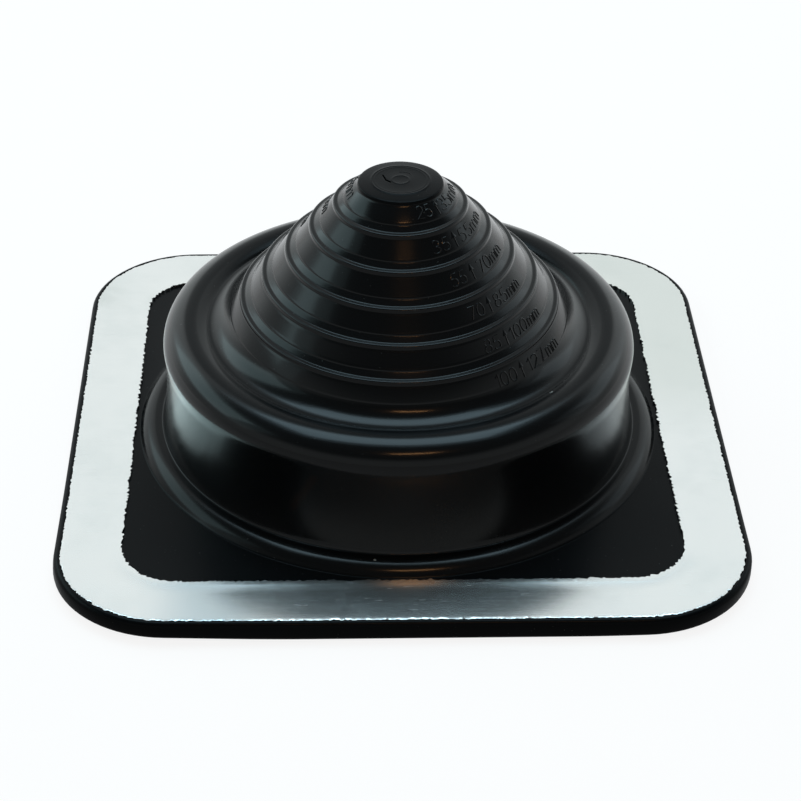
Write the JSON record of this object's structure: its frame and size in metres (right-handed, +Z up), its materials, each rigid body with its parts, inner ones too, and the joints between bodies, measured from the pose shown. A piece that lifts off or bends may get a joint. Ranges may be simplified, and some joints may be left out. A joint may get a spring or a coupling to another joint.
{
  "type": "pipe flashing boot",
  "caption": "Square roof flashing for a pipe: one rubber moulding with a stepped cone, a rolled bulge and a skirt, on a flange with a soft aluminium band.",
  "frame": {"origin": "centre of the flange on its flat underside", "axes": "+Z up along the cone's axis, from the underside to the closed cap; X and Y along the square flange's sides, with the step marks facing -Y and +X"},
  "size_m": [0.204, 0.204, 0.0905],
  "materials": {
    "rubber": "satin black moulded rubber",
    "aluminium": "soft dull sheet, lightly scratched"
  },
  "bodies": {
    "root": {"rubber_boot": "rubber", "aluminium_ring": "aluminium"}
  },
  "joints": []
}
